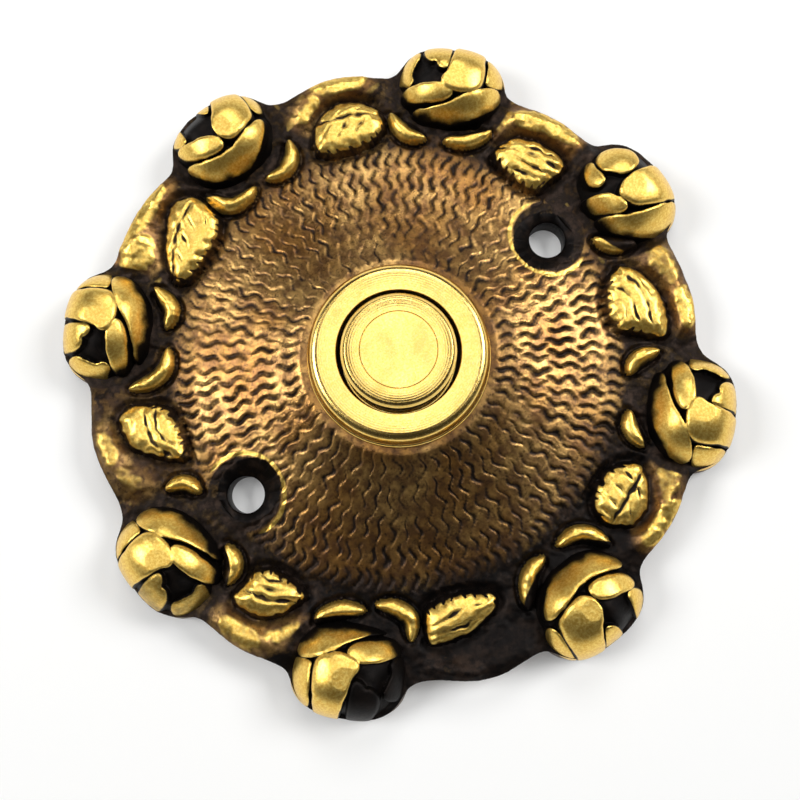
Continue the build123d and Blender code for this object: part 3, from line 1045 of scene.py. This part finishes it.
level_petals = (
    (
        (-5.6, -1.9), (-4.7, -2.0), (-3.4, -2.5), (-2.1, -2.9), (-0.4, -3.0), (1.3, -2.6),
        (2.9, -2.1), (4.5, -2.1), (4.8, -2.6), (3.7, -4.0), (2.3, -5.1), (0.6, -6.2),
        (-1.1, -6.4), (-2.9, -5.7), (-4.4, -4.6), (-5.4, -3.0),
    ),
    (
        (-5.4, 0.2), (-4.7, 0.7), (-3.4, 0.4), (-1.7, 0.0), (-0.8, -0.6), (-0.5, -1.9),
        (-1.7, -2.3), (-3.4, -1.8), (-4.9, -1.0),
    ),
    (
        (-0.5, 0.0), (-0.2, 0.8), (1.2, 2.3), (2.0, 4.6), (4.2, 4.4), (4.5, 2.6), (4.4, 1.0),
        (4.2, -0.4), (3.9, -1.4), (2.0, -1.8), (0.5, -2.0), (-0.3, -1.2),
    ),
    (
        (4.9, 3.6), (4.9, 2.2), (4.9, 0.7), (4.7, -0.8), (5.3, -1.6), (6.1, -0.3), (5.9, 1.2),
        (5.2, 2.4),
    ),
    (
        (-0.7, 5.4), (1.6, 5.4), (1.4, 3.9), (0.5, 2.2), (-0.4, 2.6), (-0.9, 3.4),
    ),
    (
        (-5.4, 3.4), (-4.6, 4.8), (-3.4, 4.6), (-3.3, 3.2), (-3.7, 2.0), (-3.7, 0.9),
        (-4.8, 0.8), (-5.5, 1.6),
    ),
)
steep_petals = (
    (
        (4.6, 1.6), (4.0, 0.2), (3.5, -1.2), (3.0, -2.7), (2.3, -4.0), (1.4, -5.4), (0.6, -7.0),
        (1.4, -7.4), (2.9, -6.4), (4.6, -5.0), (6.0, -3.2), (6.6, -1.3), (6.4, 0.8), (5.6, 2.4),
    ),
    (
        (1.7, -2.8), (0.6, -2.9), (-0.6, -3.5), (-1.4, -5.0), (-2.2, -7.0), (-0.9, -7.4),
        (0.2, -6.2), (1.2, -4.6), (1.9, -3.5),
    ),
    (
        (-0.4, 1.6), (0.4, 3.6), (2.6, 3.8), (4.0, 2.4), (3.9, 1.4), (3.2, -0.4), (2.2, -2.0),
        (0.8, -2.5), (-0.1, -2.6), (-0.8, -0.8),
    ),
    (
        (-5.4, -1.3), (-4.8, 0.2), (-3.2, 1.8), (-1.4, 1.6), (-1.2, -0.6), (-2.4, -1.4),
        (-3.2, -2.2), (-4.6, -2.4),
    ),
    (
        (-5.4, -2.9), (-3.6, -2.9), (-2.3, -2.6), (-1.9, -3.8), (-3.0, -4.8), (-4.8, -4.2),
    ),
)

# Height of each petal over the cap, in the order of the petals
petal_lifts = (0.0, -0.05, 0.1, -0.25, -0.3, -0.35)

# Each rose: how far the camera leans over it, its petals, and how bright the petals after
# the fourth are
roses = (
    (0.45, steep_petals, 1.0),
    (0.49, turned_petals, 0.95),
    (0.47, level_petals, 0.8),
    (0.40, turned_petals, 0.95),
    (0.29, turned_petals, 0.55),
    (0.22, turned_petals, 0.1),
    (0.25, level_petals, 0.8),
    (0.35, turned_petals, 0.95),
)


def cap_height(across, outward):
    """Height of the rounded cap on which a rose's petals lie."""
    return 1.0 + 6.8 * (1 - np.clip(cap_share(across, outward), 0, 1) ** 2.4) ** 0.55


def onto_cap(points, ring, lean):
    """Places seen at one height, moved along the line of sight to where they lie on the cap."""
    placed = []
    for across, seen in points:
        outward = seen
        for _ in range(12):
            level = float(cap_height(across, outward + sight_ring - ring))
            outward = (outward + seen + lean * (sight_height - level)) / 2
        placed.append((across, outward + sight_ring - ring))
    return placed


def rose_relief(x, y, ring, lean, petals, later_petal_brightness):
    cap = cap_height(x, y)
    height = cap - 1.25 + 0.25 * uneven(x, y, 1.3, int(ring * 10))
    polish_and_painted_light = np.zeros(np.shape(x))
    for number, (outline, lift) in enumerate(zip(petals, petal_lifts)):
        depth = depth_inside(x, y, onto_cap(outline, ring, lean))
        depth = depth + 0.22 + 0.06 * uneven(x, y, 0.8, 31)
        fall = (1 - np.clip(depth / 0.5, 0, 1)) ** 2.2
        swell = cap + lift - 0.24 * fall
        edge = smooth(depth, -0.14, 0.08)
        petal = height * (1 - edge) + swell * edge
        height = np.where(depth > -0.14, np.maximum(height, petal), height)
        rub = smooth(depth, -0.02, 0.2) * (later_petal_brightness if number > 3 else 1.0)
        polish_and_painted_light = np.maximum(polish_and_painted_light, rub)
    share = cap_share(x, y)
    low = smooth(share + 0.06 * uneven(x, y, 1.1, 12), 0.6, 0.95) * smooth(-y, 0.5, 3.0)
    polish_and_painted_light = polish_and_painted_light * (1 - 0.85 * low) * smooth(height, 1.3, 3.0) + 0.05 * uneven(x, y, 1.1, 12)
    grime_and_painted_shade = 0.8 + 0.4 * smooth(height, 1.5, 3.5)
    return np.clip(height, 0.35, 7.8), np.clip(polish_and_painted_light, 0, 1), grime_and_painted_shade


def add_rose(number, ring, angle, lean, petals, later_petal_brightness):
    columns = 240
    angles = np.linspace(-np.pi, np.pi, columns, endpoint=False)
    reach = 1 / cap_share(np.cos(angles), np.sin(angles))
    share = np.linspace(0.004, 1, 60)[:, None]
    x = share * reach * np.cos(angles)
    y = share * reach * np.sin(angles)
    height, polish_and_painted_light, grime_and_painted_shade = rose_relief(x, y, ring, lean, petals, later_petal_brightness)
    rows = [np.stack([x[k], y[k], height[k]], axis=-1) for k in range(len(x))]
    for share, level in ((1.0, 0.34), (0.985, 0.04), (0.004, 0.04)):
        edge = np.stack([share * x[-1], share * y[-1], np.full(columns, level)], axis=-1)
        rows.append(edge)
    rose = shell(f"rose_{number}", rows)
    underside = np.zeros((3, columns))
    mark(rose, "polish_and_painted_light", np.concatenate([polish_and_painted_light, underside]).ravel())
    mark(rose, "grime_and_painted_shade", np.concatenate([grime_and_painted_shade, underside + 0.8]).ravel())
    turn = Matrix.Rotation(math.radians(angle), 4, "Z")
    across = Matrix.Rotation(math.radians(-90), 4, "Z")
    rose.data.transform(turn @ Matrix.Translation((ring * MM, 0, 0)) @ across)
    wear(rose, cast, "cast_brass", "housing", "rose_plate")


for number, (place, rose) in enumerate(zip(rose_places, roses), 1):
    add_rose(number, *place, *rose)


# Turned pieces, each from a profile of radius and height in mm. A circle of no radius can't be
# resized, so a profile that reaches the axis stops just short of it, and its ends are merged.

near_axis = 0.0005


def turned(name, profile, sides=160):
    """A circle drawn along a profile, as a lathe would leave it."""
    radius, height = profile[0]
    bpy.ops.mesh.primitive_circle_add(vertices=sides, radius=radius * MM)
    piece = bpy.context.object
    piece.name = name
    bpy.ops.object.mode_set(mode="EDIT")
    bpy.ops.mesh.select_all(action="SELECT")
    bpy.ops.transform.translate(value=(0, 0, height * MM))
    for (before, low), (after, high) in zip(profile, profile[1:]):
        move = {"value": (0, 0, (high - low) * MM)}
        bpy.ops.mesh.extrude_region_move(TRANSFORM_OT_translate=move)
        size = after / before
        bpy.ops.transform.resize(value=(size, size, 1), center_override=(0, 0, 0))
    bpy.ops.mesh.select_all(action="SELECT")
    bpy.ops.mesh.remove_doubles(threshold=2e-6)
    bpy.ops.mesh.normals_make_consistent(inside=False)
    bpy.ops.object.mode_set(mode="OBJECT")
    bpy.ops.object.shade_smooth_by_angle(angle=math.radians(35))
    piece.select_set(False)
    return piece


bezel = turned(
    "bezel_ring",
    (
        (6.6, 11.42), (6.68, 11.5), (8.5, 11.5), (8.75, 11.47), (8.98, 11.4), (9.2, 11.28),
        (9.4, 11.1), (9.56, 10.85), (9.67, 10.55), (9.72, 10.2), (9.73, 9.52), (9.64, 9.47),
        (9.74, 9.42), (9.74, 9.22), (9.64, 9.17), (9.76, 9.1), (9.9, 9.0), (9.95, 8.9),
        (9.95, 8.3), (8.0, 8.3), (8.0, 0.45), (6.6, 0.45), (6.6, 2.15), (6.2, 2.15), (6.2, 6.5),
        (1.55, 6.5), (1.55, 7.8), (6.6, 7.8), (6.6, 11.42),
    ),
)
wear(bezel, bright_brass, "turned_brass", "housing", "bezel")

button = turned(
    "button_face",
    (
        (near_axis, 12.47), (0.5, 12.48), (1.0, 12.5), (4.02, 12.5), (4.08, 12.45), (4.14, 12.5),
        (5.6, 12.5), (5.7, 12.46), (6.04, 12.14), (6.11, 12.05), (6.11, 9.5), (3.3, 9.5),
        (3.3, 11.4), (1.5, 11.4), (1.5, 4.8), (1.2, 4.8), (1.2, 4.4), (1.5, 4.4), (1.5, 4.1),
        (near_axis, 4.1), (near_axis, 12.47),
    ),
)
wear(button, bright_brass, "polished_brass", "button", "push_button")


# Screw holes: a countersink cuts the relief, and a boss carries the hole down to the wall


def darken_hole(piece, middle):
    """Dark patina on the faces that the cutter left."""
    count = len(piece.data.vertices)
    places = np.empty(count * 3)
    piece.data.vertices.foreach_get("co", places)
    x, y, z = places.reshape(-1, 3).T / MM
    cone = np.clip(z - (sink_start - hole_radius), hole_radius, sink_radius)
    cut = np.hypot(x - middle, y) < cone + 0.05
    for name, level in (("polish_and_painted_light", 0.0), ("grime_and_painted_shade", 1.1)):
        values = np.empty(count)
        attribute = piece.data.attributes[name]
        attribute.data.foreach_get("value", values)
        values[cut] = level
        attribute.data.foreach_set("value", values)


def cut_screw_hole(side):
    shift = Matrix.Translation((side * hole_place * MM, 0, 0))
    sink_end = sink_start + sink_radius - hole_radius
    profile = (
        (near_axis, -1.0), (hole_radius, -1.0), (hole_radius, sink_start),
        (sink_radius, sink_end), (sink_radius, 9.5), (near_axis, 9.5),
    )
    cutter = turned("countersink", profile, 96)
    cutter.data.transform(shift)
    for piece in (dish, garland):
        bpy.context.view_layer.objects.active = piece
        change = piece.modifiers.new("cut", "BOOLEAN")
        change.operation = "DIFFERENCE"
        change.object = cutter
        change.solver = "MANIFOLD"
        bpy.ops.object.modifier_apply(modifier=change.name)
        darken_hole(piece, side * hole_place)
    bpy.data.objects.remove(cutter)
    profile = (
        (hole_radius, sink_start), (2.25, 2.95), (sink_radius, 3.0), (sink_radius, 0.0),
        (hole_radius, 0.0), (hole_radius, sink_start),
    )
    boss = turned(f"screw_boss_{'right' if side > 0 else 'left'}", profile, 96)
    boss.data.transform(shift)
    mark(boss, "polish_and_painted_light", np.zeros(len(boss.data.vertices)))
    mark(boss, "grime_and_painted_shade", np.full(len(boss.data.vertices), 1.1))
    wear(boss, cast, "cast_brass", "housing", "rose_plate")


for side in (-1, 1):
    cut_screw_hole(side)
for ring in (dish, garland):
    wear(ring, cast, "cast_brass", "housing", "rose_plate")


# Solids whose shape is right keep it and get their finish
covered = ("rose_plate", "bezel", "push_button")
slots = {part["node"]: part["material_slot"] for part in frame["record"]["subparts"]}
for name, node in nodes.items():
    if name not in covered:
        node.data.materials.clear()
        node.data.materials.append(slot_finish[slots[name]])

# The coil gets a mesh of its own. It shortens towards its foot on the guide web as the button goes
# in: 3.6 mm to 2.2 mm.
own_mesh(nodes["return_spring"])


# Floor and light


def add_floor():
    """A pale table, which far from the part is as white as the world behind it."""
    bpy.ops.mesh.primitive_plane_add(size=1.6)
    floor = bpy.context.object
    floor.name = "table"
    finish = Finish("pale_table")
    seen = finish.ray("Camera").maths("MAXIMUM", finish.ray("Glossy"))
    far = seen * finish.length(finish.here()).between(0.1, 0.4)
    glow = finish.mix(seen, (0, 0, 0), (0.12, 0.12, 0.12))
    finish.set(
        Base_Color=(0.86, 0.86, 0.85),
        Roughness=0.8,
        Emission_Color=finish.mix(far, glow, (1, 1, 1)),
        Emission_Strength=1.0,
    )
    floor.data.materials.append(finish.material)


def add_lamp(name, across, up, height, width, length, power):
    """A soft lamp that faces the button. Places and sizes are in metres, and power in watts."""
    data = bpy.data.lights.new(name, "AREA")
    data.shape = "RECTANGLE"
    data.size = width
    data.size_y = length
    data.energy = power
    lamp = bpy.data.objects.new(name, data)
    scene.collection.objects.link(lamp)
    place = image_right * across + image_up * up
    place.z = height
    lamp.location = place
    lamp.rotation_euler = place.to_track_quat("Z", "Y").to_euler()


add_floor()
add_lamp("left_window", -0.42, 0.03, 0.4, 0.24, 0.2, 1.6)
add_lamp("right_window", 0.39, 0.17, 0.4, 0.24, 0.2, 1.7)
add_lamp("back_window", 0.0, 0.42, 0.42, 0.3, 0.2, 0.8)
add_lamp("ceiling_light", 0.0, 0.1, 0.6, 0.45, 0.35, 0.9)


def add_world():
    """White to the camera, and in reflections near the horizon. Dim to everything else."""
    world = bpy.data.worlds.new("studio")
    world.use_nodes = True
    sky = Nodes(world.node_tree)
    place = sky.node("ShaderNodeTexCoord", output="Generated")
    up = sky.node("ShaderNodeSeparateXYZ", inputs=(place,), output="Z")
    mirrored = sky.ray("Glossy") * (1 - up.between(0.05, 0.3))
    white = sky.ray("Camera").maths("MAXIMUM", mirrored)
    dim = 0.04
    background = world.node_tree.nodes["Background"]
    background.inputs["Color"].default_value = (1, 1, 1, 1)
    sky.plug(background.inputs["Strength"], white * (1 - dim) + dim)
    scene.world = world


add_world()
